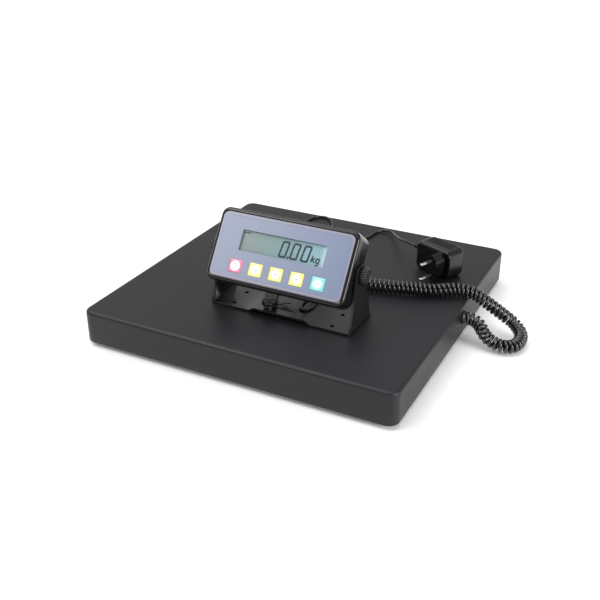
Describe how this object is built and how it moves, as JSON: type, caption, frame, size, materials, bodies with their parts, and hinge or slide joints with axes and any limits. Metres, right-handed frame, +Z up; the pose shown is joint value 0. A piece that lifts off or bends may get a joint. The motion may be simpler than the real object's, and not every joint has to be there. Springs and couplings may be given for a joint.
{
  "type": "platform shipping scale",
  "caption": "Low square weighing platform with a tilting indicator on a bracket, a curly cord between them, and a mains adapter on a long lead.",
  "frame": {"origin": "on the floor under the middle of the platform", "axes": "+X to the platform's right, where the curly cord enters; +Y away from the user; +Z up"},
  "size_m": [0.4539, 0.38, 0.1524],
  "materials": {
    "cover_paint": "fine matt texture",
    "zinc_steel": "satin zinc plate",
    "screw_steel": "satin",
    "spacer_nylon": "matt natural nylon",
    "cell_steel": "ground",
    "foot_rubber": "matt",
    "board_green": "solder mask",
    "gland_nylon": "satin",
    "wire_sheath": "satin",
    "stand_paint": "gloss",
    "knob_plastic": "satin",
    "insert_brass": "turned",
    "housing_plastic": "gloss",
    "overlay_film": "satin print",
    "window_clear": "clear",
    "display_glass": "gloss",
    "switch_plastic": "matt",
    "key_red": "satin",
    "key_yellow": "satin",
    "key_teal": "satin",
    "clip_steel": "bright",
    "adapter_plastic": "fine texture",
    "pin_nickel": "bright",
    "sleeve_plastic": "matt",
    "coil_sheath": "gloss",
    "lead_sheath": "satin",
    "tie_plastic": "satin"
  },
  "bodies": {
    "platform": {"platform_cover": "cover_paint", "long_rails": "zinc_steel", "cross_rails": "zinc_steel", "bottom_plate": "zinc_steel", "plate_spacers": "spacer_nylon", "plate_screws": "screw_steel", "load_cell_front_left": "cell_steel", "load_cell_front_right": "cell_steel", "load_cell_rear_left": "cell_steel", "load_cell_rear_right": "cell_steel", "cell_brackets": "zinc_steel", "foot_cups": "zinc_steel", "rubber_foot_front_left": "foot_rubber", "rubber_foot_front_right": "foot_rubber", "rubber_foot_rear_left": "foot_rubber", "rubber_foot_rear_right": "foot_rubber", "summing_board": "board_green", "summing_board_spacers": "spacer_nylon", "summing_board_screws": "screw_steel", "platform_gland": "gland_nylon", "gland_nut": "zinc_steel", "platform_wiring": "wire_sheath", "stand_bracket": "stand_paint", "adapter_face_shell": "adapter_plastic", "adapter_back_shell": "adapter_plastic", "adapter_pins": "pin_nickel", "adapter_pin_sleeves": "sleeve_plastic", "adapter_board": "board_green", "adapter_relief": "gland_nylon", "curly_cord": "coil_sheath", "adapter_lead": "lead_sheath", "plug_lead": "lead_sheath", "lead_hank": "lead_sheath", "hank_tie": "tie_plastic"},
    "indicator": {"front_housing": "housing_plastic", "rear_housing": "housing_plastic", "housing_screws": "screw_steel", "keypad_overlay": "overlay_film", "display_window": "window_clear", "display_module": "display_glass", "main_board": "board_green", "key_switches": "switch_plastic", "main_board_screws": "screw_steel", "battery_clip": "clip_steel", "power_jack": "switch_plastic", "barrel_plug": "gland_nylon", "indicator_gland": "gland_nylon", "pivot_inserts": "insert_brass", "friction_washers": "spacer_nylon"},
    "knob_left": {"pivot_knob_left": "knob_plastic", "pivot_stud_left": "screw_steel"},
    "knob_right": {"pivot_knob_right": "knob_plastic", "pivot_stud_right": "screw_steel"},
    "key_power": {"key_power": "key_red"},
    "key_hold": {"key_hold": "key_yellow"},
    "key_tare": {"key_tare": "key_yellow"},
    "key_unit": {"key_unit": "key_yellow"},
    "key_zero": {"key_zero": "key_teal"},
    "battery_door": {"battery_door": "housing_plastic"}
  },
  "joints": [
    {"name": "tilt", "type": "hinge", "parent": "platform", "child": "indicator", "pos_m": [0.0176, -0.083, 0.1068], "axis": [1, 0, 0], "range_deg": [-40, 30]},
    {"name": "knob_left_turn", "type": "hinge", "parent": "indicator", "child": "knob_left", "pos_m": [-0.0719, -0.083, 0.1068], "axis": [1, 0, 0], "range_deg": [0, 360]},
    {"name": "knob_right_turn", "type": "hinge", "parent": "indicator", "child": "knob_right", "pos_m": [0.1071, -0.083, 0.1068], "axis": [1, 0, 0], "range_deg": [0, 360]},
    {"name": "key_power_press", "type": "slide", "parent": "indicator", "child": "key_power", "axis": [0, 0.8241, -0.5664], "range_m": [0, 0.0004], "stiffness_N_per_m": 600, "springref_m": -0.0003},
    {"name": "key_hold_press", "type": "slide", "parent": "indicator", "child": "key_hold", "axis": [0, 0.8241, -0.5664], "range_m": [0, 0.0004], "stiffness_N_per_m": 600, "springref_m": -0.0003},
    {"name": "key_tare_press", "type": "slide", "parent": "indicator", "child": "key_tare", "axis": [0, 0.8241, -0.5664], "range_m": [0, 0.0004], "stiffness_N_per_m": 600, "springref_m": -0.0003},
    {"name": "key_unit_press", "type": "slide", "parent": "indicator", "child": "key_unit", "axis": [0, 0.8241, -0.5664], "range_m": [0, 0.0004], "stiffness_N_per_m": 600, "springref_m": -0.0003},
    {"name": "key_zero_press", "type": "slide", "parent": "indicator", "child": "key_zero", "axis": [0, 0.8241, -0.5664], "range_m": [0, 0.0004], "stiffness_N_per_m": 600, "springref_m": -0.0003},
    {"name": "battery_door_swing", "type": "hinge", "parent": "indicator", "child": "battery_door", "pos_m": [-0.0159, -0.05742, 0.1306], "axis": [1, 0, 0], "range_deg": [0, 70]}
  ]
}
